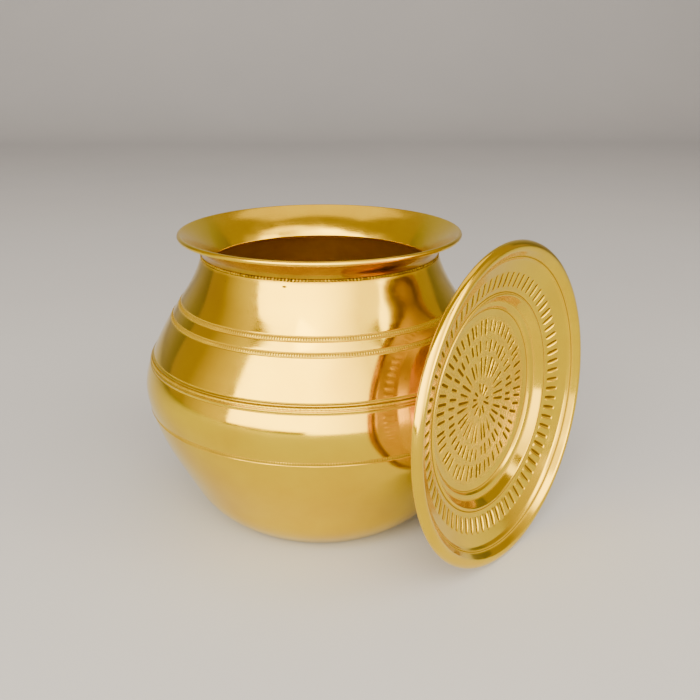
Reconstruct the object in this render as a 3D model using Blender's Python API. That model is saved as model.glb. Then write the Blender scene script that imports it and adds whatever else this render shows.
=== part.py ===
"""Brass kalash pot with its separate lid, in metres, +Z up.

The pot stands on z = 0 with its axis on the Z axis. The lid stands on its rim beside the pot
and leans against the belly, with the face of its dish turned outward.
"""

from math import cos, hypot, radians, sin

import bmesh
import bpy
import numpy as np
from mathutils import Matrix, Vector

MM = 0.001

# Driving dimensions, in millimetres unless named otherwise.
SEGMENTS = 40            # facets around every turned piece
SHEET = 0.8              # brass sheet of the pot and the lid
TOUCH_GAP = 0.3          # air left between two pieces that touch
LAP_GAP = 0.4            # air left between the two walls of a lap joint

# Outer silhouette of the pot body: (height, radius) from the foot to the neck seam.
BODY_KNOTS = [
    (0.0, 58.6), (9.6, 70.8), (25.5, 81.7), (47.7, 93.4), (71.5, 102.3),
    (86.5, 104.3), (101.4, 100.0), (125.1, 87.4), (146.0, 74.1), (159.4, 68.6),
]
WIDEST_HEIGHT = 85.0
FOOT_FLAT_RADIUS = 56.0
FOOT_CORNER_HEIGHT = 1.2

BELLY_SEAM_HEIGHT = 101.4
NECK_SEAM_HEIGHT = 159.4
SEAM_EDGE_DROP = 0.85    # sheet edge below the seam's middle
SEAM_STEP_START = 0.6    # where the tucked wall starts to step out, above the seam's middle
SEAM_STEP_RISE = 0.4
LAP_DEPTH = 6.0
BRAZE_RADIUS = 0.55

RIDGE_OFFSET = 1.55      # a belly ridge lies this far below the seam and another this far above
RIDGE_HALF_WIDTH = 0.55
RIDGE_RISE = 0.4
LOW_BAND_HEIGHT = 71.5
SHOULDER_BAND_HEIGHTS = (125.5, 131.8, 133.4)
BAND_HALF_WIDTH = 0.6
BAND_DEPTH = 0.3

LIP_BEAD_CENTRE = (80.4, 171.1)
LIP_BEAD_RADIUS = 1.4
LIP_FLARE_SLOPE = radians(30.0)
LIP_CURL_END = radians(-140.0)
ROLLED_SHEET = 0.6       # the sheet is drawn thinner where it is rolled
LIP_WIRE_RADIUS = 0.5
FUNNEL_KNEE = (67.4, 165.2)      # where the funnel's flare turns down into the throat
THROAT = (62.9, 155.5)   # narrowest ring of the mouth, just below the neck seam
THROAT_ROUNDING = 2.2

LID_RADIUS = 89.5
LID_FLOOR_DEPTH = 15.6
LID_FLOOR_RADIUS = 47.5
LID_WELL = [(51.5, -14.3), (54.6, -11.5), (57.4, -8.9), (60.4, -7.5)]
LID_PANEL_FOOT = (80.5, -0.3)
LID_CREST = [(81.7, 1.6), (83.3, 3.3), (85.4, 4.0), (87.4, 3.4), (88.8, 1.9)]
LID_BEAD_RADIUS = 1.2
LID_ROLLED_SHEET = 0.5
LID_BEAD_HEIGHT = -0.2
LID_CURL_END = radians(-200.0)
LID_WIRE_RADIUS = 0.4
LID_FACING = radians(-40.1)      # direction of the lid's face around the pot
LID_LEAN = radians(2.5)          # how far the face tips up
LID_SIDE_SHIFT = 10.8            # lid centre beside the belly's nearest point

BRASS = (0.80, 0.56, 0.22, 1.0)
BRASS_LID = (0.86, 0.62, 0.22, 1.0)
BRAZE = (0.42, 0.27, 0.10, 1.0)
WIRE = (0.70, 0.48, 0.18, 1.0)


def clear_scene():
    for item in list(bpy.data.objects):
        bpy.data.objects.remove(item, do_unlink=True)


def metal(name, colour, roughness):
    material = bpy.data.materials.new(name)
    material.use_nodes = True
    shader = material.node_tree.nodes["Principled BSDF"]
    shader.inputs["Base Color"].default_value = colour
    shader.inputs["Metallic"].default_value = 1.0
    shader.inputs["Roughness"].default_value = roughness
    return material


def natural_cubic(knots):
    """Places, values and second derivatives of the smooth curve through (place, value) knots."""
    place = np.array([knot[0] for knot in knots])
    value = np.array([knot[1] for knot in knots])
    step = np.diff(place)
    matrix = np.eye(len(knots))
    right = np.zeros(len(knots))
    for i in range(1, len(knots) - 1):
        matrix[i, i - 1:i + 2] = step[i - 1], 2 * (step[i - 1] + step[i]), step[i]
        rise = (value[i + 1] - value[i]) / step[i]
        right[i] = 6 * (rise - (value[i] - value[i - 1]) / step[i - 1])
    return place, value, np.linalg.solve(matrix, right)


BODY_CURVE = natural_cubic(BODY_KNOTS)


def body_radius(height):
    """Smooth outer radius of the pot at a height."""
    place, value, bend = BODY_CURVE
    i = min(max(int(np.searchsorted(place, height)) - 1, 0), len(place) - 2)
    step = place[i + 1] - place[i]
    low = (place[i + 1] - height) / step
    high = (height - place[i]) / step
    curve = ((low**3 - low) * bend[i] + (high**3 - high) * bend[i + 1]) * step**2 / 6
    return float(low * value[i] + high * value[i + 1] + curve)


def body_points(heights):
    return [(body_radius(height), height) for height in heights]


def spread(start, end, count):
    return [start + (end - start) * i / (count - 1) for i in range(count)]


def inward(points, distance):
    """Shift a bottom-to-top outline toward the axis by a distance along its normals."""
    shifted = []
    for i, (radius, height) in enumerate(points):
        before = points[max(i - 1, 0)]
        after = points[min(i + 1, len(points) - 1)]
        run = after[0] - before[0]
        rise = after[1] - before[1]
        length = hypot(run, rise)
        shifted.append((radius - distance * rise / length, height + distance * run / length))
    return shifted


def arc(centre, radius, start, end, count):
    return [
        (centre[0] + radius * cos(angle), centre[1] + radius * sin(angle))
        for angle in spread(start, end, count)
    ]


def bend(start, middle, end, count):
    """Points of a quadratic curve, without its first point."""
    points = []
    for i in range(1, count + 1):
        t = i / count
        a, b, c = (1 - t) ** 2, 2 * t * (1 - t), t**2
        points.append(tuple(a * p + b * q + c * r for p, q, r in zip(start, middle, end)))
    return points


def turned(name, outline, material, closed):
    """Spin an outline of (radius, height) points in millimetres around the Z axis."""
    work = bmesh.new()
    verts = [work.verts.new((radius * MM, 0.0, height * MM)) for radius, height in outline]
    edges = [work.edges.new(pair) for pair in zip(verts, verts[1:])]
    if closed:
        edges.append(work.edges.new((verts[-1], verts[0])))
    bmesh.ops.spin(
        work, geom=verts + edges, cent=(0, 0, 0), axis=(0, 0, 1),
        angle=radians(360.0), steps=SEGMENTS, use_duplicate=False,
    )
    bmesh.ops.remove_doubles(work, verts=work.verts, dist=0.00001)
    bmesh.ops.recalc_face_normals(work, faces=work.faces)
    mesh = bpy.data.meshes.new(name)
    work.to_mesh(mesh)
    work.free()
    mesh.shade_smooth()
    mesh.set_sharp_from_angle(angle=radians(35.0))
    mesh.materials.append(material)
    piece = bpy.data.objects.new(name, mesh)
    bpy.context.scene.collection.objects.link(piece)
    return piece


def band(height, half_width, lift):
    """A shallow ridge (lift > 0) or groove (lift < 0) across the body outline."""
    return [
        (body_radius(height - half_width), height - half_width),
        (body_radius(height) + lift, height),
        (body_radius(height + half_width), height + half_width),
    ]


def lower_bowl(material):
    """Beaten bowl from the flat foot up to the belly seam."""
    top = BELLY_SEAM_HEIGHT - SEAM_EDGE_DROP
    outer = [(FOOT_FLAT_RADIUS, 0.0)]
    outer += body_points([FOOT_CORNER_HEIGHT] + spread(5.0, 62.0, 7))
    outer += band(LOW_BAND_HEIGHT, BAND_HALF_WIDTH, -BAND_DEPTH)
    outer += body_points([78.0, WIDEST_HEIGHT, 92.0])
    outer += band(BELLY_SEAM_HEIGHT - RIDGE_OFFSET, RIDGE_HALF_WIDTH, RIDGE_RISE)
    outer += body_points([top])
    wall = body_points([FOOT_CORNER_HEIGHT] + spread(5.0, 62.0, 6) + [74.0, WIDEST_HEIGHT, 94.0, top])
    inner = inward(wall, SHEET)
    floor = (FOOT_FLAT_RADIUS - SHEET, SHEET)
    outline = [(0.0, 0.0)] + outer + inner[::-1] + [floor, (0.0, SHEET)]
    return turned("lower_bowl", outline, material, closed=False)


def tucked(seam_height):
    """Outer wall of a sheet tucked behind a seam, then stepped out past it."""
    skirt = spread(seam_height - LAP_DEPTH, seam_height + SEAM_STEP_START, 3)
    return inward(body_points(skirt), SHEET + LAP_GAP)


def shoulder_shell(material):
    """Domed shoulder, tucked into the bowl at the belly and open at the neck."""
    flush = BELLY_SEAM_HEIGHT + SEAM_STEP_START + SEAM_STEP_RISE
    top = NECK_SEAM_HEIGHT - SEAM_EDGE_DROP
    skirt = tucked(BELLY_SEAM_HEIGHT)
    outer = skirt + band(BELLY_SEAM_HEIGHT + RIDGE_OFFSET, RIDGE_HALF_WIDTH, RIDGE_RISE)
    outer += body_points([112.0, 119.0])
    for height in SHOULDER_BAND_HEIGHTS:
        outer += band(height, BAND_HALF_WIDTH, -BAND_DEPTH)
    outer += body_points(spread(142.0, top, 3))
    wall = skirt + body_points([flush + SHEET] + spread(112.0, top, 7))
    return turned("shoulder_shell", outer + inward(wall, SHEET)[::-1], material, closed=True)


def neck_collar(material):
    """Cast mouth: a skirt inside the shoulder, a funnel, and a lip rolled over a wire."""
    start = (body_radius(NECK_SEAM_HEIGHT), NECK_SEAM_HEIGHT + SEAM_STEP_START + SEAM_STEP_RISE)
    wire_space = LIP_BEAD_RADIUS - ROLLED_SHEET
    meet = radians(90.0) + LIP_FLARE_SLOPE
    end = arc(LIP_BEAD_CENTRE, wire_space, meet, meet, 2)[0]
    reach = (end[0] - start[0]) / cos(LIP_FLARE_SLOPE)
    middle = (start[0], end[1] - reach * sin(LIP_FLARE_SLOPE))
    under = tucked(NECK_SEAM_HEIGHT) + [start] + bend(start, middle, end, 6)
    curl_inside = arc(LIP_BEAD_CENTRE, wire_space, meet, LIP_CURL_END, 8)[1:]
    curl_outside = arc(LIP_BEAD_CENTRE, LIP_BEAD_RADIUS, LIP_CURL_END, meet, 9)
    funnel = bend(curl_outside[-1], FUNNEL_KNEE, THROAT, 6)
    rounding = (THROAT[0] + THROAT_ROUNDING, THROAT[1])
    nose = arc(rounding, THROAT_ROUNDING, radians(180.0), radians(270.0), 4)[1:]
    outline = under + curl_inside + curl_outside + funnel + nose
    return turned("neck_collar", outline, material, closed=True)


def ring(name, centre, radius, sides, material):
    """Round wire or bead of braze around the Z axis."""
    section = arc(centre, radius, 0.0, radians(-360.0), sides + 1)[:-1]
    return turned(name, section, material, closed=True)


def seam_braze(name, seam_height, material):
    """Bead of brazing metal that fills a seam's outside groove."""
    centre = (body_radius(seam_height) - BRAZE_RADIUS / 3, seam_height)
    return ring(name, centre, BRAZE_RADIUS, 6, material)


def lid_plate(material):
    """Spun dish: chiselled floor, well wall, fluted panel, and a flange with a rolled edge."""
    bead = (LID_RADIUS - LID_BEAD_RADIUS, LID_BEAD_HEIGHT)
    wire_space = LID_BEAD_RADIUS - LID_ROLLED_SHEET
    floor = [(0.0, -LID_FLOOR_DEPTH), (LID_FLOOR_RADIUS, -LID_FLOOR_DEPTH)]
    face = floor + LID_WELL + [LID_PANEL_FOOT] + LID_CREST + [(LID_RADIUS, LID_BEAD_HEIGHT)]
    curl_outside = arc(bead, LID_BEAD_RADIUS, 0.0, LID_CURL_END, 9)[1:]
    curl_inside = arc(bead, wire_space, LID_CURL_END, 0.0, 8)[:-1]
    back = inward(face, -SHEET)
    back[0] = (0.0, -LID_FLOOR_DEPTH - SHEET)
    back[-1] = (bead[0] + wire_space, LID_BEAD_HEIGHT)
    outline = face + curl_outside + curl_inside + back[::-1]
    return turned("lid_plate", outline, material, closed=False)


def lid_placement():
    """World matrix of the lid: standing on its rim, its dish resting against the belly."""
    face = Vector((cos(LID_LEAN) * cos(LID_FACING), cos(LID_LEAN) * sin(LID_FACING), sin(LID_LEAN)))
    across = Vector((-sin(LID_FACING), cos(LID_FACING), 0.0))
    upward = face.cross(across)
    belly = max(
        body_radius(height) * cos(LID_LEAN) + height * sin(LID_LEAN)
        for height in spread(60.0, 115.0, 56)
    )
    plane = belly + TOUCH_GAP + SHEET + LID_FLOOR_DEPTH
    centre_height = LID_RADIUS * cos(LID_LEAN) - LID_BEAD_HEIGHT * sin(LID_LEAN)
    outward = (plane - centre_height * sin(LID_LEAN)) / cos(LID_LEAN)
    centre = Vector((cos(LID_FACING), sin(LID_FACING), 0.0)) * outward
    centre += across * LID_SIDE_SHIFT
    centre.z = centre_height
    basis = Matrix((across, upward, face)).transposed().to_4x4()
    return Matrix.Translation(centre * MM) @ basis


def build():
    clear_scene()
    brass = metal("brass_polished", BRASS, 0.18)
    lid_brass = metal("brass_lid", BRASS_LID, 0.2)
    braze = metal("braze_filler", BRAZE, 0.5)
    wire = metal("brass_wire", WIRE, 0.35)

    lower_bowl(brass)
    shoulder_shell(brass)
    neck_collar(brass)
    ring("lip_wire", LIP_BEAD_CENTRE, LIP_WIRE_RADIUS, 6, wire)
    seam_braze("belly_seam_braze", BELLY_SEAM_HEIGHT, braze)
    seam_braze("neck_seam_braze", NECK_SEAM_HEIGHT, braze)

    lid_frame = bpy.data.objects.new("lid_frame", None)
    bpy.context.scene.collection.objects.link(lid_frame)
    lid_frame.matrix_world = lid_placement()
    lid_wire_centre = (LID_RADIUS - LID_BEAD_RADIUS, LID_BEAD_HEIGHT)
    for piece in (
        lid_plate(lid_brass),
        ring("lid_rim_wire", lid_wire_centre, LID_WIRE_RADIUS, 6, wire),
    ):
        piece.parent = lid_frame


build()
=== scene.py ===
"""Looks of the brass kalash pot and its leaning lid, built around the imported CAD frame."""

from math import asin, atan2, cos, hypot, pi, radians, sin, sqrt, tan

import bpy
import numpy as np
from mathutils import Matrix, Vector


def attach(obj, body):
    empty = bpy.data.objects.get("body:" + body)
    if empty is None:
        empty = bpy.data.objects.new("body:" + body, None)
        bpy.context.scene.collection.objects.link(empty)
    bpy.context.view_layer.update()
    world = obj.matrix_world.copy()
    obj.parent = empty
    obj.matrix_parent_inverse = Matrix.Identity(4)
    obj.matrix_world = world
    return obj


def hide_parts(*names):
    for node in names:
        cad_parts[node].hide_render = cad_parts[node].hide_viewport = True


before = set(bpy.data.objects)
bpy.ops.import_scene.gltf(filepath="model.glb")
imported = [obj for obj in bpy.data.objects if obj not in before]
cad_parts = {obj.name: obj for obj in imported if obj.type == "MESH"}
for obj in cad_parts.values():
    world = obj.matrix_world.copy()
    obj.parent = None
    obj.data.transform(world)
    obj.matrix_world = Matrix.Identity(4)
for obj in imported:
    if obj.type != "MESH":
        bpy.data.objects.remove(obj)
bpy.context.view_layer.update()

MM = 0.001
AROUND = 480             # facets round a plain turned piece
OUTER_SPACING = 1.2      # between rows of a pot wall's outer face, in millimetres
INNER_SPACING = 2.2      # between rows of its inner face
FOOT_SPACING = 4.0       # between rows of the flat foot
MEAN_RADIUS = 95.0       # of the pot's wall, for spacing the beaten hollows round it

# Sheet, seams and rolled edges, in millimetres, as in the CAD.
SHEET = 0.8
LAP_GAP = 0.4
TOUCH_GAP = 0.3
BODY_KNOTS = [
    (0.0, 58.6), (9.6, 70.8), (25.5, 81.7), (47.7, 93.4), (71.5, 102.3),
    (86.5, 104.3), (101.4, 100.0), (125.1, 87.4), (146.0, 74.1), (159.4, 68.6),
]
FOOT_FLAT_RADIUS = 56.0
FOOT_CORNER_RADIUS = 58.2
FOOT_CORNER_HEIGHT = 1.2
BELLY_SEAM = 101.4
NECK_SEAM = 159.4
SEAM_EDGE_DROP = 0.85
SEAM_STEP_START = 0.6
SEAM_STEP_RISE = 0.4
LAP_DEPTH = 6.0
LIP_BEAD = (80.4, 171.1)
LIP_BEAD_RADIUS = 1.4
LIP_FLARE_SLOPE = radians(30.0)
LIP_CURL_END = radians(-140.0)
ROLLED_SHEET = 0.6
LIP_WIRE_RADIUS = 0.5
FUNNEL_KNEE = (67.4, 165.2)
THROAT = (62.9, 155.5)
THROAT_ROUNDING = 2.2

BRAZE_RADIUS = 0.75
BELLY_BRAZE_MARKS = 290
NECK_BRAZE_STITCHES = 230

# Bands and the ridges beside the belly seam, in millimetres above the foot.
UPPER_BAND = 132.6
LOWER_BAND = 125.5
BOWL_BAND = 72.1
LOWER_RIDGE = BELLY_SEAM - 1.55
UPPER_RIDGE = BELLY_SEAM + 1.55
# Lines cut into the wall: height, half width, depth. A ridge has a negative depth.
LINES = [
    (BOWL_BAND - 1.05, 0.50, 0.36), (BOWL_BAND + 0.95, 0.35, 0.14),
    (LOWER_BAND - 0.95, 0.40, 0.20), (LOWER_BAND + 0.95, 0.45, 0.34),
    (UPPER_BAND - 1.05, 0.45, 0.32), (UPPER_BAND + 1.05, 0.45, 0.30),
    (LOWER_RIDGE, 0.75, -0.50), (LOWER_RIDGE - 1.05, 0.40, 0.20),
    (UPPER_RIDGE, 0.75, -0.50), (UPPER_RIDGE + 1.05, 0.40, 0.20),
]
SHADED_LINE_DEPTH = 0.42       # a line cut this deep is fully darkened with painted shade
# Knurled strips on the bands: name, height, half width, rise.
KNURLS = [
    ("knurl_upper", UPPER_BAND, 0.75, 0.36), ("knurl_lower", LOWER_BAND, 0.70, 0.36),
    ("knurl_bowl", BOWL_BAND, 0.75, 0.40),
]
KNURL_PITCH = 1.40
KNURL_ROOT = 0.3         # how deep a strip's base lies in the wall

# The lid, in millimetres and radians, as in the CAD.
LID_RADIUS = 89.5
LID_FLOOR_DEPTH = 15.6
LID_BEAD_RADIUS = 1.2
LID_BEAD_HEIGHT = -0.2
LID_ROLLED_SHEET = 0.5
LID_CURL_END = radians(-200.0)
LID_WIRE_RADIUS = 0.4
LID_FACING = radians(-40.1)
LID_LEAN = radians(2.5)
LID_SIDE_SHIFT = 10.8


# ---------------------------------------------------------------- outlines

def spline(knots):
    """Places, values and second derivatives of the natural cubic through (x, y) knots."""
    x, y = np.array(knots).T
    step = np.diff(x)
    matrix = np.eye(len(x))
    right = np.zeros(len(x))
    for i in range(1, len(x) - 1):
        matrix[i, i - 1:i + 2] = step[i - 1], 2 * (step[i - 1] + step[i]), step[i]
        right[i] = 6 * ((y[i + 1] - y[i]) / step[i] - (y[i] - y[i - 1]) / step[i - 1])
    return x, y, np.linalg.solve(matrix, right)


BODY = spline(BODY_KNOTS)


def body_radius(height):
    """Outer radius of the pot at one height or at an array of heights."""
    x, y, bend = BODY
    height = np.asarray(height, float)
    i = np.clip(np.searchsorted(x, height) - 1, 0, len(x) - 2)
    step = x[i + 1] - x[i]
    a = (x[i + 1] - height) / step
    b = (height - x[i]) / step
    curve_part = ((a**3 - a) * bend[i] + (b**3 - b) * bend[i + 1]) * step**2 / 6
    return a * y[i] + b * y[i + 1] + curve_part


def body_rows(heights):
    """Rows of the pot's outer face at some heights."""
    heights = np.asarray(heights, float)
    return np.column_stack([body_radius(heights), heights])


def normals(rows):
    """Unit normals to the right of an outline's direction."""
    step = np.gradient(rows, axis=0)
    length = np.hypot(step[:, 0], step[:, 1])
    return np.column_stack([step[:, 1], -step[:, 0]]) / length[:, None]


def shifted(rows, distance):
    """The outline moved to its left by one distance, or by one for each row."""
    return rows - normals(rows) * np.asarray(distance, float).reshape(-1, 1)


def arc(centre, radius, start, end, count):
    """Points along an arc from one angle to another."""
    angle = np.linspace(start, end, count)
    return np.column_stack([centre[0] + radius * np.cos(angle), centre[1] + radius * np.sin(angle)])


def curve(start, middle, end, count):
    """Points along a quadratic Bezier curve."""
    t = np.linspace(0, 1, count)[:, None]
    start, middle, end = np.array(start), np.array(middle), np.array(end)
    return (1 - t) ** 2 * start + 2 * t * (1 - t) * middle + t**2 * end


def rounded(corners, spacing):
    """Outline through (x, y, fillet radius) corners, each corner turned into an arc."""
    points = [np.array(corners[0][:2])]
    for before, here, after in zip(corners, corners[1:], corners[2:]):
        corner = np.array(here[:2])
        back = np.array(before[:2]) - corner
        ahead = np.array(after[:2]) - corner
        back /= np.hypot(*back)
        ahead /= np.hypot(*ahead)
        half = np.arccos(np.clip(back @ ahead, -1, 1)) / 2
        reach = here[2] / tan(half)
        middle = back + ahead
        centre = corner + middle / np.hypot(*middle) * here[2] / sin(half)
        start = corner + back * reach - centre
        end = corner + ahead * reach - centre
        first = atan2(start[1], start[0])
        turn = atan2(start[0] * end[1] - start[1] * end[0], start @ end)
        count = max(int(abs(turn) * here[2] / spacing) + 2, 5)
        points.extend(arc(centre, here[2], first, first + turn, count))
    points.append(np.array(corners[-1][:2]))
    return np.array(points)


def refined(rows, spacing):
    """The same outline with points no further apart than spacing."""
    parts = []
    for a, b in zip(rows, rows[1:]):
        count = max(int(np.ceil(np.hypot(*(b - a)) / spacing)), 1)
        parts.append(a + (b - a) * np.arange(count)[:, None] / count)
    parts.append(rows[-1:])
    return np.vstack(parts)


def fine_heights(start, end, coarse, zones=()):
    """Heights from start to end, finer inside the (low, high, spacing) zones."""
    heights = [start]
    while heights[-1] < end - 1e-9:
        here = heights[-1]
        step = coarse
        for low, high, spacing in zones:
            if low - 1e-9 <= here < high:
                step = spacing
            elif here < low:
                step = min(step, low - here)
        heights.append(min(here + max(step, 1e-3), end))
    return np.array(heights)


# ---------------------------------------------------------------- meshes

def lathe(name, rows, around, material, closed=True, shape=None, lining=None, placement=None):
    """Mesh of an outline of (radius, height) rows, counter-clockwise, turned round Z.

    shape(radius, height, angle) may move the rows' points. It returns both again, with how
    far each point lies in a recess darkened with painted shade, from 0 to 1.
    lining is (first row, material) for a piece whose last rows have a finish of their own.
    placement moves the finished mesh from its own frame into the world.
    """
    angle = np.arange(around) * 2 * pi / around
    on_axis = rows[:, 0] < 1e-9
    rings = rows[~on_axis]
    radius = np.repeat(rings[:, :1], around, axis=1)
    height = np.repeat(rings[:, 1:], around, axis=1)
    recess = np.zeros_like(radius)
    if shape:
        radius, height, recess = shape(radius, height, np.broadcast_to(angle, radius.shape))
    points = np.stack([radius * np.cos(angle), radius * np.sin(angle), height], axis=-1)
    points = points.reshape(-1, 3)
    count = len(rings)
    low = np.arange(count if closed else count - 1)
    high = (low + 1) % count
    here = np.arange(around)
    ahead = (here + 1) % around
    faces = np.stack([
        low[:, None] * around + here, low[:, None] * around + ahead,
        high[:, None] * around + ahead, high[:, None] * around + here,
    ], axis=-1).reshape(-1, 4).tolist()
    if on_axis[0]:
        points = np.vstack([points, [0, 0, rows[0, 1]]])
        pole = len(points) - 1
        faces += [(pole, int(b), int(a)) for a, b in zip(here, ahead)]
    if on_axis[-1]:
        points = np.vstack([points, [0, 0, rows[-1, 1]]])
        pole = len(points) - 1
        last = (count - 1) * around
        faces += [(pole, int(last + a), int(last + b)) for a, b in zip(here, ahead)]
    points = points * MM
    if placement:
        points = points @ np.array(placement.to_3x3()).T + np.array(placement.translation)
    mesh = bpy.data.meshes.new(name)
    mesh.from_pydata(points, [], faces)
    mesh.validate()
    mesh.shade_smooth()
    mesh.set_sharp_from_angle(angle=radians(60.0))
    mesh.materials.append(material)
    recess_shade = np.zeros(len(points))
    recess_shade[:recess.size] = recess.ravel()
    mesh.attributes.new("recess", "FLOAT", "POINT").data.foreach_set("value", recess_shade)
    if lining:
        mesh.materials.append(lining[1])
        slots = np.ones(len(faces), np.int32)
        slots[:len(low) * around] = np.repeat(low >= lining[0], around)
        if on_axis[0]:
            first_cap = len(low) * around
            slots[first_cap:first_cap + around] = 0
        mesh.polygons.foreach_set("material_index", slots)
    piece = bpy.data.objects.new(name, mesh)
    bpy.context.scene.collection.objects.link(piece)
    return piece


def stands_for(piece, body, slot, *nodes):
    """Attaches a piece to the body it rides on and hides the nodes that it replaces. slot is not
    used.
    """
    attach(piece, body)
    if nodes:
        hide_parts(*nodes)


def waves(x, y, length, count, seed):
    """Smooth uneven relief from crossing waves of about one length, mostly from -1 to 1."""
    draw = np.random.default_rng(seed)
    total = np.zeros_like(x)
    for _ in range(count):
        heading = draw.uniform(0, 2 * pi)
        pitch = 2 * pi / (length * draw.uniform(0.7, 1.6))
        total += np.sin((x * cos(heading) + y * sin(heading)) * pitch + draw.uniform(0, 2 * pi))
    return total / sqrt(count)


def hollows(height, angle, length, seed):
    """Soft uneven relief left on a pot's wall by hand beating, mostly from -1 to 1."""
    draw = np.random.default_rng(seed)
    total = np.zeros_like(height)
    count = 12
    for _ in range(count):
        around = round(2 * pi * MEAN_RADIUS / (length * draw.uniform(0.8, 2.2)))
        rise = draw.choice([-1, 1]) * 2 * pi / (length * draw.uniform(1.5, 4.0))
        total += np.sin(angle * around + height * rise + draw.uniform(0, 2 * pi))
    return total / sqrt(count)


# ---------------------------------------------------------------- materials

def nodes_of(name):
    """A new material with its node tree and its shader."""
    material = bpy.data.materials.new(name)
    material.use_nodes = True
    tree = material.node_tree
    shader = tree.nodes["Principled BSDF"]
    shader.inputs["Specular IOR Level"].default_value = 0.0
    return material, tree, shader


def add(tree, kind, inputs=None, **settings):
    """A new node whose inputs are linked to sockets or set to values."""
    node = tree.nodes.new(kind)
    for key, value in settings.items():
        setattr(node, key, value)
    for key, value in (inputs or {}).items():
        if isinstance(value, bpy.types.NodeSocket):
            tree.links.new(value, node.inputs[key])
        else:
            node.inputs[key].default_value = value
    return node


def arithmetic(tree, operation, first, second):
    """Result of a Math node on two sockets or values."""
    return add(tree, "ShaderNodeMath", {0: first, 1: second}, operation=operation).outputs[0]


def vector_part(tree, operation, first, second=(0.0, 0.0, 0.0)):
    """A Vector Math node on one or two sockets or values."""
    return add(tree, "ShaderNodeVectorMath", {0: first, 1: second}, operation=operation)


def noise(tree, vector, scale, detail=4.0, roughness=0.55):
    """Value of a noise texture, mostly between 0.3 and 0.7."""
    node = add(tree, "ShaderNodeTexNoise", {
        "Vector": vector, "Scale": scale, "Detail": detail, "Roughness": roughness,
    })
    return node.outputs["Fac"]


def ramp(tree, factor, low, high, to_low=0.0, to_high=1.0):
    """A factor between low and high, stretched to run from to_low to to_high."""
    node = add(tree, "ShaderNodeMapRange", {
        "Value": factor, "From Min": low, "From Max": high, "To Min": to_low, "To Max": to_high,
    })
    return node.outputs["Result"]


def mixed(tree, factor, first, second):
    """Mix of two colours, all of the second where the factor is 1."""
    node = add(tree, "ShaderNodeMix", data_type="RGBA")
    sockets = (node.inputs[0], node.inputs[6], node.inputs[7])
    for socket, value in zip(sockets, (factor, first, second)):
        if isinstance(value, bpy.types.NodeSocket):
            tree.links.new(value, socket)
        else:
            socket.default_value = value
    return node.outputs[2]


def bumped(tree, height, strength, distance, under=None):
    """Normal of a bump, laid over the normal that is given as under."""
    inputs = {"Height": height, "Strength": strength, "Distance": distance}
    if under:
        inputs["Normal"] = under
    return add(tree, "ShaderNodeBump", inputs).outputs["Normal"]


def own_place(tree, placement=None):
    """Coordinates in a turned piece's own frame, where its axis is Z."""
    place = add(tree, "ShaderNodeTexCoord").outputs["Object"]
    if not placement:
        return place
    mapping = add(tree, "ShaderNodeMapping", {
        "Vector": place, "Location": placement.translation, "Rotation": placement.to_euler(),
    }, vector_type="TEXTURE")
    return mapping.outputs["Vector"]


def turned_lines(tree, place, pitch):
    """Coordinates slow round the axis and quick across the turning lines, and the radius."""
    split = add(tree, "ShaderNodeSeparateXYZ", {"Vector": place})
    flat = add(tree, "ShaderNodeCombineXYZ", {"X": split.outputs["X"], "Y": split.outputs["Y"]})
    radius = vector_part(tree, "LENGTH", flat.outputs[0]).outputs["Value"]
    heading = vector_part(tree, "NORMALIZE", flat.outputs[0]).outputs[0]
    around = vector_part(tree, "MULTIPLY", heading, (3.0, 3.0, 3.0)).outputs[0]
    rise = arithmetic(tree, "MULTIPLY", split.outputs["Z"], 1.0 / pitch)
    reach = arithmetic(tree, "MULTIPLY", radius, 0.7 / pitch)
    across = add(tree, "ShaderNodeCombineXYZ", {"Z": arithmetic(tree, "ADD", rise, reach)})
    return vector_part(tree, "ADD", around, across.outputs[0]).outputs[0], radius


# Linear colours of clean and deeper brass, of a brown oxide coat that also paints shade under the
# lip and inside the pot, and of pin holes and the painted shade in recesses.
BRASS_LIGHT = (0.87, 0.61, 0.006, 1.0)
BRASS_DEEP = (0.78, 0.51, 0.003, 1.0)
OXIDE_AND_SHADE = (0.30, 0.125, 0.002, 1.0)
TARNISH_AND_SHADE = (0.040, 0.017, 0.004, 1.0)
SHADE_AND_STAIN_COVER = 0.95        # share of the metal that the darkest painted shade and stains hide
RECESS_ROUGHNESS = 0.45
SATIN_ROUGHNESS = 0.16
NICK = (-0.0185, -0.0670, 0.1562)    # a small nick just under the neck, in metres


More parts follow.
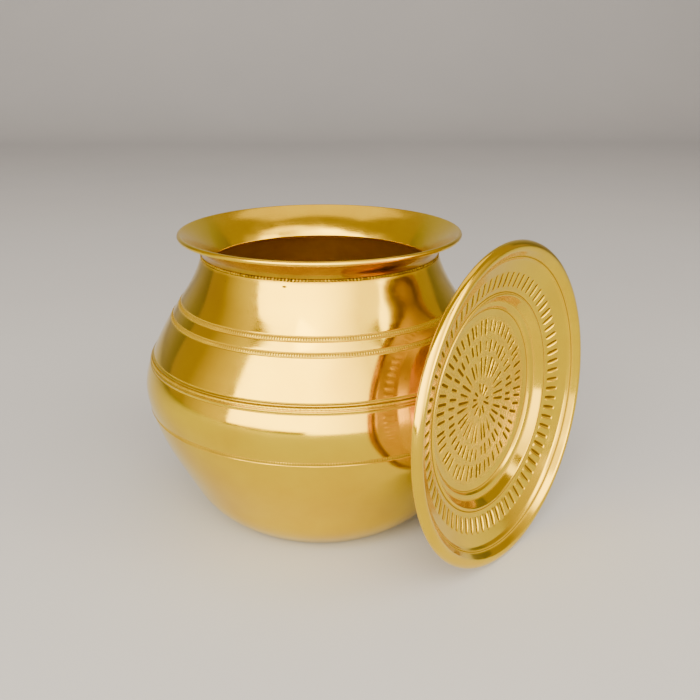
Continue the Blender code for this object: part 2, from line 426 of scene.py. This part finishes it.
def polished_brass(name, rough, placement=None, satin_disc=0.0, nick=None, film_and_shade=0.0):
    """Polished sheet: turning lines, patches, pin holes, and painted shade in recesses.

    satin_disc is the radius of a satin middle, nick the place of a nick darkened with painted
    shade, and the last argument the share of a brown coat over the whole surface, partly oxide,
    partly painted shade.
    """
    material, tree, shader = nodes_of(name)
    place = own_place(tree, placement)
    turning, radius = turned_lines(tree, place, pitch=0.0010)
    patches = noise(tree, place, 26.0, detail=5.0)
    specks = noise(tree, place, 520.0, detail=3.0, roughness=0.7)
    fine_lines = noise(tree, turning, 1.0, detail=4.0, roughness=0.75)
    smudges = noise(tree, place, 90.0, roughness=0.6)
    colour = mixed(tree, ramp(tree, patches, 0.35, 0.70), BRASS_LIGHT, BRASS_DEEP)
    # Brown coat, partly oxide and partly painted shade.
    if film_and_shade:
        colour = mixed(tree, ramp(tree, smudges, 0.3, 0.7, film_and_shade * 0.7, film_and_shade), colour, OXIDE_AND_SHADE)
    colour = mixed(tree, ramp(tree, specks, 0.68, 0.80, 0.0, 0.35), colour, TARNISH_AND_SHADE)
    # How far a point lies in a recess; the recesses are darkened with painted shade.
    painted_shade = add(tree, "ShaderNodeAttribute", attribute_name="recess").outputs["Fac"]
    if nick:
        away = vector_part(tree, "SUBTRACT", place, nick).outputs[0]
        flattened = vector_part(tree, "MULTIPLY", away, (0.45, 0.45, 1.0)).outputs[0]
        distance = vector_part(tree, "LENGTH", flattened).outputs["Value"]
        painted_shade = arithmetic(tree, "MAXIMUM", painted_shade, ramp(tree, distance, 0.0007, 0.0003))
    # Painted shade: recesses and the nick take the dark colour and lose their metal.
    painted_shade = arithmetic(tree, "MULTIPLY", painted_shade, SHADE_AND_STAIN_COVER)
    colour = mixed(tree, painted_shade, colour, TARNISH_AND_SHADE)
    roughness = ramp(tree, fine_lines, 0.3, 0.7, rough * 0.75, rough * 1.25)
    rough_recess = arithmetic(tree, "MULTIPLY", painted_shade, RECESS_ROUGHNESS)
    roughness = arithmetic(tree, "ADD", roughness, rough_recess)
    roughness = arithmetic(tree, "ADD", roughness, ramp(tree, smudges, 0.45, 0.75, 0.0, 0.05))
    normal = bumped(tree, fine_lines, 0.35, 0.00003)
    if satin_disc:
        inside = ramp(tree, radius, satin_disc + 0.001, satin_disc - 0.001)
        satin = arithmetic(tree, "MULTIPLY", inside, SATIN_ROUGHNESS)
        roughness = arithmetic(tree, "ADD", roughness, satin)
        grain = arithmetic(tree, "MULTIPLY", noise(tree, place, 1300.0, detail=3.0), inside)
        normal = bumped(tree, grain, 0.6, 0.00018, under=normal)
    tree.links.new(colour, shader.inputs["Base Color"])
    tree.links.new(roughness, shader.inputs["Roughness"])
    tree.links.new(normal, shader.inputs["Normal"])
    tree.links.new(arithmetic(tree, "SUBTRACT", 1.0, painted_shade), shader.inputs["Metallic"])
    return material


def braze_metal(name, dark_share):
    """Brazing metal: pitted and darkened where flux stayed, bright where it was rubbed.

    dark_share runs from 0, dressed smooth, to 1, as brazed.
    """
    material, tree, shader = nodes_of(name)
    place = own_place(tree)
    pits = noise(tree, place, 800.0, roughness=0.7)
    patches = noise(tree, place, 60.0, detail=3.0)
    colour = mixed(tree, ramp(tree, patches, 0.35, 0.70), BRASS_LIGHT, BRASS_DEEP)
    stained = ramp(tree, pits, 0.36 + 0.2 * dark_share, 0.30 + 0.2 * dark_share)
    recess = add(tree, "ShaderNodeAttribute", attribute_name="recess").outputs["Fac"]
    stained = arithmetic(tree, "MAXIMUM", stained, recess)
    stained = arithmetic(tree, "MULTIPLY", stained, SHADE_AND_STAIN_COVER)
    colour = mixed(tree, stained, colour, TARNISH_AND_SHADE)
    tree.links.new(colour, shader.inputs["Base Color"])
    tree.links.new(arithmetic(tree, "SUBTRACT", 1.0, stained), shader.inputs["Metallic"])
    tree.links.new(ramp(tree, pits, 0.3, 0.7, 0.45, 0.18), shader.inputs["Roughness"])
    tree.links.new(bumped(tree, pits, dark_share, 0.0003), shader.inputs["Normal"])
    return material


# ---------------------------------------------------------------- the pot

def groove(height, middle, half_width, depth):
    """A smooth groove (depth > 0) or ridge (depth < 0) across the wall, in millimetres."""
    across = np.clip(np.abs(height - middle) / half_width, 0, 1)
    return depth * (0.5 + 0.5 * np.cos(pi * across))


def engraved(height):
    """How far the bands' lines are cut below the wall at a height."""
    return sum(groove(height, *line) for line in LINES)


def shade_beside_seams(height):
    """Share of painted shade in the narrow gaps just above and below the two seams."""
    distance = np.minimum(np.abs(height - BELLY_SEAM), np.abs(height - NECK_SEAM))
    return 0.9 * np.exp(-(((distance - 0.8) / 0.3) ** 2))


def chatter(angle, teeth):
    """Uneven tooth marks round a band, from 0 in the gaps to 1 on the teeth."""
    wave = 0.5 + 0.5 * np.cos(angle * teeth + 0.8 * np.sin(angle * 11))
    drift = 0.72 + 0.28 * np.sin(angle * 7 + 1.3) * np.sin(angle * 17 + 0.4)
    return wave * drift


def tucked_rows(seam):
    """Wall tucked behind a seam, by the sheet and the lap's gap."""
    rows = body_rows(np.linspace(seam - LAP_DEPTH, seam + SEAM_STEP_START, 9))
    return shifted(rows, SHEET + LAP_GAP)


def beaten(wall, low, high, depth, length, seed):
    """Lathe shape that beats soft hollows into a wall's rows, none at its low and high ends."""
    def shape(radius, height, angle):
        level = height[wall]
        fade = np.clip((level - low) / 10.0, 0, 1) * np.clip((high - level) / 10.0, 0, 1)
        radius[wall] += fade * depth * hollows(level, angle[wall], length, seed)
        recess = np.zeros_like(radius)
        patchy = 0.75 + 0.25 * np.sin(angle[wall] * 9 + 2.0) * np.sin(angle[wall] * 23)
        # Engraved lines and the gaps beside the seams are darkened with painted shade.
        painted_shade = engraved(level) / SHADED_LINE_DEPTH + shade_beside_seams(level)
        recess[wall] = np.clip(painted_shade, 0, 1) * patchy
        return radius, height, recess
    return shape


def make_bowl(material, lining):
    """Bowl from its flat foot up to the belly seam."""
    top = BELLY_SEAM - SEAM_EDGE_DROP
    zones = [(BOWL_BAND - 1.7, BOWL_BAND + 1.5, 0.12), (LOWER_RIDGE - 1.8, top, 0.10)]
    heights = fine_heights(FOOT_CORNER_HEIGHT, top, OUTER_SPACING, zones)
    outer = shifted(body_rows(heights), engraved(heights))
    corner = curve((FOOT_FLAT_RADIUS, 0.0), (FOOT_CORNER_RADIUS, 0.0), outer[0], 6)[:-1]
    foot = refined(np.array([[0.0, 0.0], [FOOT_FLAT_RADIUS, 0.0]]), FOOT_SPACING)[:-1]
    inner = shifted(body_rows(fine_heights(FOOT_CORNER_HEIGHT, top, INNER_SPACING)), SHEET)
    floor = refined(np.array([[FOOT_FLAT_RADIUS - SHEET, SHEET], [0.0, SHEET]]), FOOT_SPACING)
    rows = np.vstack([foot, corner, outer, inner[::-1], floor])
    first = len(foot) + len(corner) - 1
    shape = beaten(slice(first, first + len(outer)), 0.0, top, 0.035, 36.0, seed=4)
    piece = lathe("bowl_wall", rows, AROUND, material, closed=False, shape=shape,
                  lining=(first + len(outer), lining))
    stands_for(piece, "pot", "polished_brass", "lower_bowl")


def make_shoulder(material, lining):
    """Shoulder between the two seams, its skirt tucked inside the bowl."""
    flush = BELLY_SEAM + SEAM_STEP_START + SEAM_STEP_RISE
    top = NECK_SEAM - SEAM_EDGE_DROP
    skirt = tucked_rows(BELLY_SEAM)
    zones = [
        (flush, UPPER_RIDGE + 1.8, 0.10), (LOWER_BAND - 1.4, LOWER_BAND + 1.4, 0.12),
        (UPPER_BAND - 1.6, UPPER_BAND + 1.6, 0.12),
    ]
    heights = fine_heights(flush, top, OUTER_SPACING, zones)
    outer = np.vstack([skirt, shifted(body_rows(heights), engraved(heights))])
    inside_heights = fine_heights(flush + SHEET, top, INNER_SPACING)
    inner = shifted(np.vstack([skirt, body_rows(inside_heights)]), SHEET)
    rows = np.vstack([outer, inner[::-1]])
    shape = beaten(slice(len(skirt), len(outer)), flush, top, 0.035, 30.0, seed=11)
    piece = lathe("shoulder_wall", rows, AROUND, material, shape=shape,
                  lining=(len(outer), lining))
    stands_for(piece, "pot", "polished_brass", "shoulder_shell")


def make_collar(material, under_material):
    """Flared mouth with a rolled lip, its skirt tucked inside the shoulder."""
    start = (float(body_radius(NECK_SEAM)), NECK_SEAM + SEAM_STEP_START + SEAM_STEP_RISE)
    wire_space = LIP_BEAD_RADIUS - ROLLED_SHEET
    meet = radians(90.0) + LIP_FLARE_SLOPE
    end = arc(LIP_BEAD, wire_space, meet, meet, 1)[0]
    reach = (end[0] - start[0]) / cos(LIP_FLARE_SLOPE)
    middle = (start[0], end[1] - reach * sin(LIP_FLARE_SLOPE))
    under = np.vstack([tucked_rows(NECK_SEAM), curve(start, middle, end, 40)])
    curl_inside = arc(LIP_BEAD, wire_space, meet, LIP_CURL_END, 24)[1:]
    curl_outside = arc(LIP_BEAD, LIP_BEAD_RADIUS, LIP_CURL_END, meet, 36)
    funnel = curve(curl_outside[-1], FUNNEL_KNEE, THROAT, 48)[1:]
    nose = arc((THROAT[0] + THROAT_ROUNDING, THROAT[1]), THROAT_ROUNDING, pi, 1.5 * pi, 14)[1:]
    rows = np.vstack([under, curl_inside, curl_outside, funnel, nose])
    first = len(under) + len(curl_inside) + len(curl_outside)

    def shape(radius, height, angle):
        """The throat's edge was trimmed and filed by hand, so it wanders a little."""
        near = np.clip((166.0 - height[first:]) / 10.0, 0, 1)
        turn = angle[first:]
        wander = 0.10 * np.sin(turn * 5 + 0.7) + 0.07 * np.sin(turn * 13 + 2.0)
        radius[first:] += near * (wander + 0.05 * np.sin(turn * 29 + 0.3))
        return radius, height, np.zeros_like(radius)

    piece = lathe("flared_mouth", rows, AROUND, under_material, shape=shape,
                  lining=(len(under) + len(curl_inside), material))
    stands_for(piece, "pot", "polished_brass", "neck_collar")


def make_knurl(name, height, half_width, rise, material):
    """Raised strip between two engraved lines, crossed by a knurling wheel's tooth marks."""
    across = np.linspace(-1, 1, 9)
    wall = body_rows(height + across * half_width)
    outward = normals(wall)
    base = shifted(body_rows(height + np.array([-0.9, 0.0, 0.9]) * half_width), KNURL_ROOT)
    rows = np.vstack([wall, base[::-1]])
    teeth = int(2 * pi * float(body_radius(height)) / KNURL_PITCH)
    crown = (1 - across**2)[:, None] * rise

    def shape(radius, level, angle):
        top = slice(0, len(across))
        teeth_marks = chatter(angle[top], teeth)
        lift = crown * (0.15 + 0.85 * teeth_marks) - 0.03
        radius[top] += lift * outward[:, :1]
        level[top] += lift * outward[:, 1:]
        recess = np.zeros_like(radius)
        # Gaps between the teeth are darkened with painted shade.
        recess[top] = (1 - teeth_marks) ** 1.5
        return radius, level, recess

    piece = lathe(name, rows, teeth * 4, material, shape=shape)
    stands_for(piece, "pot", "polished_brass")


def make_wire(name, body, centre, radius, node, material, placement=None):
    """Ring of round wire inside a rolled edge."""
    rows = arc(centre, radius, 0.0, 2 * pi, 17)[:-1]
    piece = lathe(name, rows, AROUND, material, placement=placement)
    stands_for(piece, body, "brass_wire", node)


def make_braze(name, seam, node, marks, size, material):
    """Bead of braze round a seam; size(angle, rise) gives its thickness and its stained share."""
    centre = (float(body_radius(seam)) - BRAZE_RADIUS / 3, seam)
    rows = arc(centre, BRAZE_RADIUS, 0.0, 2 * pi, 25)[:-1]

    def shape(radius, height, angle):
        scale, stain = size(angle, height - centre[1])
        radius = centre[0] + (radius - centre[0]) * scale
        return radius, centre[1] + (height - centre[1]) * scale, stain

    piece = lathe(name, rows, marks * 5, material, shape=shape)
    stands_for(piece, "pot", "braze_filler", node)


def make_brazes():
    """Beads of braze at the belly and the neck."""

    def dressed(angle, rise):
        """Filed smooth, with faint slanting marks that come and go."""
        gaps = 1 - chatter(angle + rise * 0.012, BELLY_BRAZE_MARKS)
        marks = gaps * (0.6 + 0.4 * np.sin(angle * 3 + 0.5))
        edge = np.clip((np.abs(rise) - 0.40) / 0.25, 0, 1)
        return 1.18 - 0.14 * marks, np.maximum(0.35 * marks**2, 0.85 * edge)

    def as_brazed(angle, rise):
        """Stitch-like lumps with open pits, roughest at the front and back."""
        coarse = 0.45 + 0.55 * (0.5 + 0.5 * np.cos(2 * (angle + pi / 2)))
        ragged = 0.5 + 0.5 * np.sin(angle * 61) * np.sin(angle * 37 + 1) * np.sin(angle * 23 + 2)
        pits = 1 - chatter(angle, NECK_BRAZE_STITCHES)
        stain = np.clip(coarse * (1.4 * pits + 0.8 * ragged - 0.35), 0, 1)
        return 1.22 - coarse * (0.60 * pits + 0.35 * ragged), stain

    make_braze("belly_braze", BELLY_SEAM, "belly_seam_braze", BELLY_BRAZE_MARKS, dressed,
               braze_metal("braze_dressed", 0.1))
    make_braze("neck_braze", NECK_SEAM, "neck_seam_braze", NECK_BRAZE_STITCHES, as_brazed,
               braze_metal("braze_rough", 0.7))


# ---------------------------------------------------------------- the lid

# Punched flutes on the ledge, in millimetres.
FLUTES = 74
FLUTE_INNER = 63.4
FLUTE_OUTER = 72.2
FLUTE_DEPTH = 0.85
FLUTE_HALF_WIDTH = 0.90
FLUTE_RIB = 0.28
LID_AROUND = FLUTES * 14
FLANGE_CENTRE = (85.9, -0.35)
FLANGE_RADIUS = LID_RADIUS - FLANGE_CENTRE[0]
FLANGE_FOOT = (80.6, -0.3)
# Face of the dish from its middle to the flange: radius, height, corner rounding.
DISH_CORNERS = [
    (0.0, -LID_FLOOR_DEPTH), (46.0, -15.3, 20.0), (51.0, -14.5, 0.35), (52.7, -12.9, 1.3),
    (55.3, -12.3, 0.4), (59.2, -7.4, 0.9), (60.8, -8.3, 0.45), (72.0, -4.7, 25.0),
    (78.7, -2.0, 3.5), (*FLANGE_FOOT, 0.25),
]
# Creases darkened with painted shade: radius, half width, how dark.
CREASES = [(51.0, 0.50, 0.9), (55.3, 0.35, 0.6), (60.8, 0.65, 0.95), (80.6, 0.50, 0.95)]
DISC_RADIUS = 47.5
# Rings of chisel strokes on the dish's floor: outer end, inner end, number of strokes, and
# their depth at the inner end as a share of that at the outer end.
STROKE_RINGS = [
    (45.3, 37.0, 52, 0.75), (34.2, 27.0, 40, 0.75), (24.8, 12.5, 28, 0.30), (9.5, 3.5, 11, 0.6),
]
STROKE_DEPTH = 0.48      # less than the sheet, so that no stroke goes through it


def lid_placement():
    """World matrix of the lid: standing on its rim, its dish resting against the belly."""
    face = Vector((cos(LID_LEAN) * cos(LID_FACING), cos(LID_LEAN) * sin(LID_FACING), sin(LID_LEAN)))
    across = Vector((-sin(LID_FACING), cos(LID_FACING), 0.0))
    upward = face.cross(across)
    heights = np.linspace(60.0, 115.0, 56)
    belly = float(np.max(body_radius(heights) * cos(LID_LEAN) + heights * sin(LID_LEAN)))
    plane = belly + TOUCH_GAP + SHEET + LID_FLOOR_DEPTH
    centre_height = LID_RADIUS * cos(LID_LEAN) - LID_BEAD_HEIGHT * sin(LID_LEAN)
    outward = (plane - centre_height * sin(LID_LEAN)) / cos(LID_LEAN)
    centre = Vector((cos(LID_FACING), sin(LID_FACING), 0.0)) * outward
    centre += across * LID_SIDE_SHIFT
    centre.z = centre_height
    basis = Matrix((across, upward, face)).transposed().to_4x4()
    return Matrix.Translation(centre * MM) @ basis


def flute_lift(radius, angle):
    """Narrow punched grooves across the ledge, rounded at both ends, with soft ribs between."""
    middle = (FLUTE_INNER + FLUTE_OUTER) / 2
    half = (FLUTE_OUTER - FLUTE_INNER) / 2
    turn = np.mod(angle * FLUTES / (2 * pi) + 0.5, 1.0) - 0.5
    side = turn * 2 * pi * radius / FLUTES
    along = np.clip(1 - ((radius - middle) / half) ** 2, 0, 1) ** 0.6
    rib = 1 - (1 - 2 * np.abs(turn)) ** 2
    unevenness = 1 + 0.15 * np.sin(angle * 9 + 1) * np.sin(angle * 5)
    flute = np.exp(-((side / FLUTE_HALF_WIDTH) ** 2)) * unevenness
    return along * (FLUTE_RIB * rib - FLUTE_DEPTH * flute)


def stroke_cut(radius, angle):
    """Depth of the chisel strokes, each ring's strokes uneven in place, length and force."""
    cut = np.zeros_like(radius)
    draw = np.random.default_rng(7)
    for outer, inner, count, inner_depth in STROKE_RINGS:
        pitch = 2 * pi / count
        for i in range(count):
            place = (i + draw.uniform(-0.2, 0.2)) * pitch
            slant = draw.uniform(-0.06, 0.06)
            start = inner + draw.uniform(-1.0, 1.0)
            end = outer + draw.uniform(-0.8, 0.8)
            force = draw.uniform(0.65, 1.15)
            width = draw.uniform(0.65, 0.95)
            middle = (start + end) / 2
            half = (end - start) / 2
            off = np.mod(angle - place + pi, 2 * pi) - pi
            side = off * radius - slant * (radius - middle)
            along = (radius - middle) / half
            near = (np.abs(side) < 3.0) & (np.abs(along) < 1.0)
            s = np.abs(side[near])
            a = along[near]
            ends = np.clip(1.0 - np.abs(a) ** 6, 0, 1)
            fade = ends * (inner_depth + (1 - inner_depth) * (a + 1) / 2)
            raised_sides = 0.30 * np.exp(-(((s - 1.55) / 0.5) ** 2))
            profile = np.exp(-((s / width) ** 4)) - raised_sides
            cut[near] += force * fade * profile * STROKE_DEPTH
    return cut


def make_lid(placement, material, back_material, wire_material):
    """Lid of one sheet: dish, ledge, flange and rolled edge, and the wire in that edge."""
    bead = (LID_RADIUS - LID_BEAD_RADIUS, LID_BEAD_HEIGHT)
    wire_space = LID_BEAD_RADIUS - LID_ROLLED_SHEET
    run, rise = FLANGE_CENTRE[0] - FLANGE_FOOT[0], FLANGE_CENTRE[1] - FLANGE_FOOT[1]
    slope = atan2(rise, run) + asin(FLANGE_RADIUS / hypot(run, rise))
    crest_start = pi / 2 + slope
    crest_end = asin((LID_BEAD_HEIGHT - FLANGE_CENTRE[1]) / FLANGE_RADIUS)
    flange = arc(FLANGE_CENTRE, FLANGE_RADIUS, crest_start, crest_end, 34)
    dish = rounded(DISH_CORNERS + [tuple(flange[0])], 0.4)
    face = np.vstack([refined(dish, 0.5)[:-1], flange])
    curl_outside = arc(bead, LID_BEAD_RADIUS, 0.0, LID_CURL_END, 24)[1:]
    curl_inside = arc(bead, wire_space, LID_CURL_END, 0.0, 18)
    middle_line = rounded([
        (0.0, -LID_FLOOR_DEPTH), (46.0, -15.3, 20.0), (51.0, -14.5, 2.0), (59.6, -8.2, 2.0),
        (79.2, -1.9, 2.5), tuple(flange[0]),
    ], 0.8)
    back = shifted(refined(middle_line, 1.2), -SHEET)
    back[0] = (0.0, -LID_FLOOR_DEPTH - SHEET)
    behind_crest = arc(FLANGE_CENTRE, FLANGE_RADIUS - SHEET, crest_start, radians(-4.0), 16)
    hidden = np.vstack([curl_outside, curl_inside, behind_crest[::-1], back[-2::-1]])
    rows = np.vstack([face, hidden])[::-1]
    front_rows = len(face)

    def worked(radius, height, angle):
        """Punched flutes on both sides, chisel strokes and rough ground on the face only."""
        lift = flute_lift(radius, angle)
        height = height + lift
        top = slice(radius.shape[0] - front_rows + 1, radius.shape[0])
        r, a = radius[top], angle[top]
        inside = np.clip((DISC_RADIUS - r) / 1.5, 0, 1)
        x, y = r * np.cos(a), r * np.sin(a)
        rough = 0.07 * waves(x, y, 3.2, 24, 3) + 0.035 * waves(x, y, 1.4, 24, 5)
        cut = stroke_cut(r, a)
        height[top] += inside * (rough - cut)
        outside = (1 - inside) * np.clip((82.0 - r) / 6.0, 0, 1)
        height[top] += outside * 0.03 * waves(x, y, 26.0, 12, 8)
        recess = np.zeros_like(radius)
        # Strokes, flute grooves and creases are darkened with painted shade.
        recess[top] = np.clip(cut / 0.22, 0, 1) + np.clip(-lift[top] / 0.3, 0, 1)
        for crease, width, share in CREASES:
            recess[top] += share * np.exp(-(((r - crease) / width) ** 2))
        return radius, height, np.clip(recess, 0, 1)

    face_start = len(rows) - 1 - front_rows
    piece = lathe("lid_dish", rows, LID_AROUND, back_material, closed=False, shape=worked,
                  lining=(face_start, material), placement=placement)
    stands_for(piece, "lid", "lid_brass", "lid_plate")
    make_wire("wire_in_lid", "lid", bead, LID_WIRE_RADIUS, "lid_rim_wire", wire_material,
              placement)


# ---------------------------------------------------------------- camera, floor and light

# Millimetres for the camera's lens, metres and degrees for the rest.
CAMERA_LENS = 46.3
CAMERA_PLACE = (0.0, -0.5153, 0.2776)
CAMERA_DIP = 19.2
CAMERA_TURN = -1.94
FLOOR_HALF_WIDTH = 6.0
FLOOR_FRONT = -6.0
FLOOR_BACK = 2.0         # where the floor starts to rise
FLOOR_BEND = 1.0
FLOOR_TOP = 3.0
FLOOR_DROP = 0.0002      # keeps the floor just clear of the foot
FLOOR_TONES = ((0.40, 0.445, 0.465, 1.0), (0.44, 0.485, 0.505, 1.0))
LIGHT_COLOUR = (0.95, 0.79, 0.65)
ROOM_COLOUR = (1.0, 0.73, 0.64, 1.0)
ROOM_STRENGTH = 0.48
# Soft boxes: name, place, target, size, radiance, and how the radiance falls across the box.
SOFT_BOXES = [
    ("key_left", (-1.10, -1.25, 1.0), (-1.10, 0.0, 1.0), (1.8, 1.8), 9.5, None),
    ("key_right", (0.80, -1.25, 0.93), (0.80, 0.0, 0.93), (2.0, 1.84), 9.5, (0.05, 0.55, 0.34)),
    ("edge_right", (1.76, -0.77, 0.95), (0.0, 0.0, 0.95), (0.78, 1.8), 8.0, (0.6, 1.0, 0.1)),
    ("fill_left", (-2.0, -0.43, 0.95), (0.0, 0.0, 0.95), (1.3, 1.9), 0.9, (0.8, 0.0, 0.0)),
    ("fill_right", (2.02, -0.10, 0.95), (0.0, 0.0, 0.95), (1.0, 1.9), 0.8, (0.2, 1.0, 0.0)),
    ("overhead", (0.35, -0.75, 1.45), (0.0, 0.0, 0.15), (1.9, 0.36), 4.5, None),
    ("top", (0.0, 0.45, 1.6), (0.0, 0.1, 0.0), (1.3, 0.9), 1.2, None),
    ("low_right", (0.62, -0.42, 0.13), (0.10, -0.08, 0.09), (0.26, 0.24), 3.0, None),
]


def make_camera():
    """Camera in front of the pot, looking down at it."""
    camera = bpy.data.cameras.new("camera")
    camera.sensor_width = 36.0
    camera.lens = CAMERA_LENS
    camera.clip_start = 0.01
    holder = bpy.data.objects.new("camera", camera)
    bpy.context.scene.collection.objects.link(holder)
    holder.location = CAMERA_PLACE
    holder.rotation_euler = (radians(90.0 - CAMERA_DIP), 0.0, radians(CAMERA_TURN))
    bpy.context.scene.camera = holder


def make_floor():
    """Pale sweep that rises behind the pot."""
    material, tree, shader = nodes_of("floor_matt")
    mottle = noise(tree, own_place(tree), 3.0, detail=3.0)
    tone = mixed(tree, mottle, *FLOOR_TONES)
    tree.links.new(tone, shader.inputs["Base Color"])
    shader.inputs["Roughness"].default_value = 0.65
    outline = [(FLOOR_FRONT, 0.0), (FLOOR_BACK, 0.0)]
    for a in np.linspace(0.1, pi / 2, 16):
        outline.append((FLOOR_BACK + FLOOR_BEND * sin(a), FLOOR_BEND - FLOOR_BEND * cos(a)))
    outline.append((FLOOR_BACK + FLOOR_BEND, FLOOR_TOP))
    sides = (-FLOOR_HALF_WIDTH, FLOOR_HALF_WIDTH)
    verts = [(x, y, z - FLOOR_DROP) for x in sides for y, z in outline]
    count = len(outline)
    mesh = bpy.data.meshes.new("floor")
    mesh.from_pydata(verts, [], [(i, count + i, count + i + 1, i + 1) for i in range(count - 1)])
    mesh.shade_smooth()
    mesh.materials.append(material)
    floor = bpy.data.objects.new("floor", mesh)
    bpy.context.scene.collection.objects.link(floor)


def make_light(name, place, target, size, radiance, fade):
    """Soft box of a size and a radiance, aimed from its place at a target.

    fade is None or (start, end, share): across the box, from 0 at its one side to 1 at its
    other, the radiance falls to that share between start and end.
    """
    light = bpy.data.lights.new(name, "AREA")
    light.shape = "RECTANGLE"
    light.size, light.size_y = size
    light.energy = radiance * pi * size[0] * size[1]
    light.color = LIGHT_COLOUR
    if fade:
        light.use_nodes = True
        tree = light.node_tree
        across = add(tree, "ShaderNodeNewGeometry").outputs["Parametric"]
        across = add(tree, "ShaderNodeSeparateXYZ", {"Vector": across}).outputs["X"]
        start, end, share = fade
        strength = ramp(tree, across, start, end, 1.0, share)
        tree.links.new(strength, tree.nodes["Emission"].inputs["Strength"])
    holder = bpy.data.objects.new(name, light)
    holder.location = place
    aim = Vector(target) - Vector(place)
    holder.rotation_euler = aim.to_track_quat("-Z", "Y").to_euler()
    holder.visible_camera = False
    bpy.context.scene.collection.objects.link(holder)


def make_world():
    """Dim warm room."""
    world = bpy.data.worlds.new("studio")
    world.use_nodes = True
    back = world.node_tree.nodes["Background"]
    back.inputs["Color"].default_value = ROOM_COLOUR
    back.inputs["Strength"].default_value = ROOM_STRENGTH
    bpy.context.scene.world = world


# ---------------------------------------------------------------- build

leaning = lid_placement()
pot_brass = polished_brass("pot_brass", 0.11, nick=NICK)
mouth_brass = polished_brass("mouth_brass", 0.19)
# The lip's underside and the lining take the brown coat partly as painted shade.
under_brass = polished_brass("under_brass", 0.16, film_and_shade=0.8)
lining_brass = polished_brass("lining_brass", 0.42, film_and_shade=0.5)
lid_brass = polished_brass("lid_brass", 0.11, placement=leaning, satin_disc=DISC_RADIUS * MM)
lid_back_brass = polished_brass("lid_back_brass", 0.32, placement=leaning)
wire_brass = polished_brass("wire_brass", 0.25)

make_camera()
make_world()
make_floor()
for soft_box in SOFT_BOXES:
    make_light(*soft_box)

make_bowl(pot_brass, lining_brass)
make_shoulder(pot_brass, lining_brass)
make_collar(mouth_brass, under_brass)
make_wire("wire_in_lip", "pot", LIP_BEAD, LIP_WIRE_RADIUS, "lip_wire", wire_brass)
make_brazes()
for knurl in KNURLS:
    make_knurl(*knurl, pot_brass)
make_lid(leaning, lid_brass, lid_back_brass, wire_brass)
